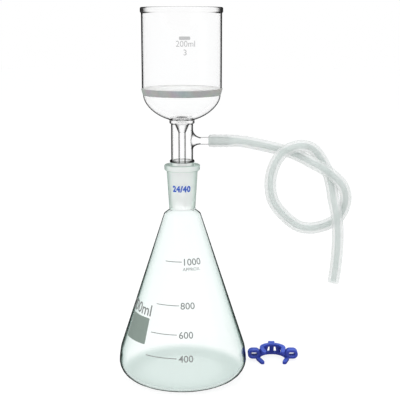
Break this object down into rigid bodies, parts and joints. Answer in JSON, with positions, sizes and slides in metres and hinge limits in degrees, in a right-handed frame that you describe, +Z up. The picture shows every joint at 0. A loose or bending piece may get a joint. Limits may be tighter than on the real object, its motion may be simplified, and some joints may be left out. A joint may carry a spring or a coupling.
{
  "type": "buchner funnel",
  "caption": "Fritted glass Buchner funnel with a vacuum side arm, in a ground-joint conical flask, with tubing and a loose joint clip.",
  "frame": {"origin": "middle of the flask's flat bottom, where it stands on the table", "axes": "+Z up along the common axis of flask and funnel, +X along the side arm that the tubing is pushed on, -Y towards the printed scale"},
  "size_m": [0.236, 0.1312, 0.373],
  "materials": {
    "clear_glass": "clear fire-polished borosilicate, faint green-grey in depth",
    "ground_glass": "finely ground, frosted",
    "sintered_glass": "sintered, granular and matt",
    "milky_tubing": "translucent milky, smooth satin",
    "blue_plastic": "moulded, satin"
  },
  "bodies": {
    "flask": {"flask_body": "clear_glass", "flask_socket": "ground_glass"},
    "funnel": {"funnel_bowl": "clear_glass", "fritted_disc": "sintered_glass", "funnel_dome": "clear_glass", "vacuum_jacket": "clear_glass", "drip_tube": "clear_glass", "ground_cone": "ground_glass", "side_arm": "clear_glass"},
    "tubing": {"tubing_sleeve": "milky_tubing", "vacuum_tubing": "milky_tubing"},
    "clip": {"joint_clip": "blue_plastic"}
  },
  "joints": [
    {"name": "funnel_lift", "type": "slide", "parent": "flask", "child": "funnel", "axis": [0, 0, 1], "range_m": [0, 0.075]},
    {"name": "tubing_pull", "type": "slide", "parent": "funnel", "child": "tubing", "axis": [1, 0, 0], "range_m": [0, 0.03]},
    {"name": "clip_lift", "type": "slide", "parent": "flask", "child": "clip", "axis": [0, 0, 1], "range_m": [0, 0.1]}
  ]
}
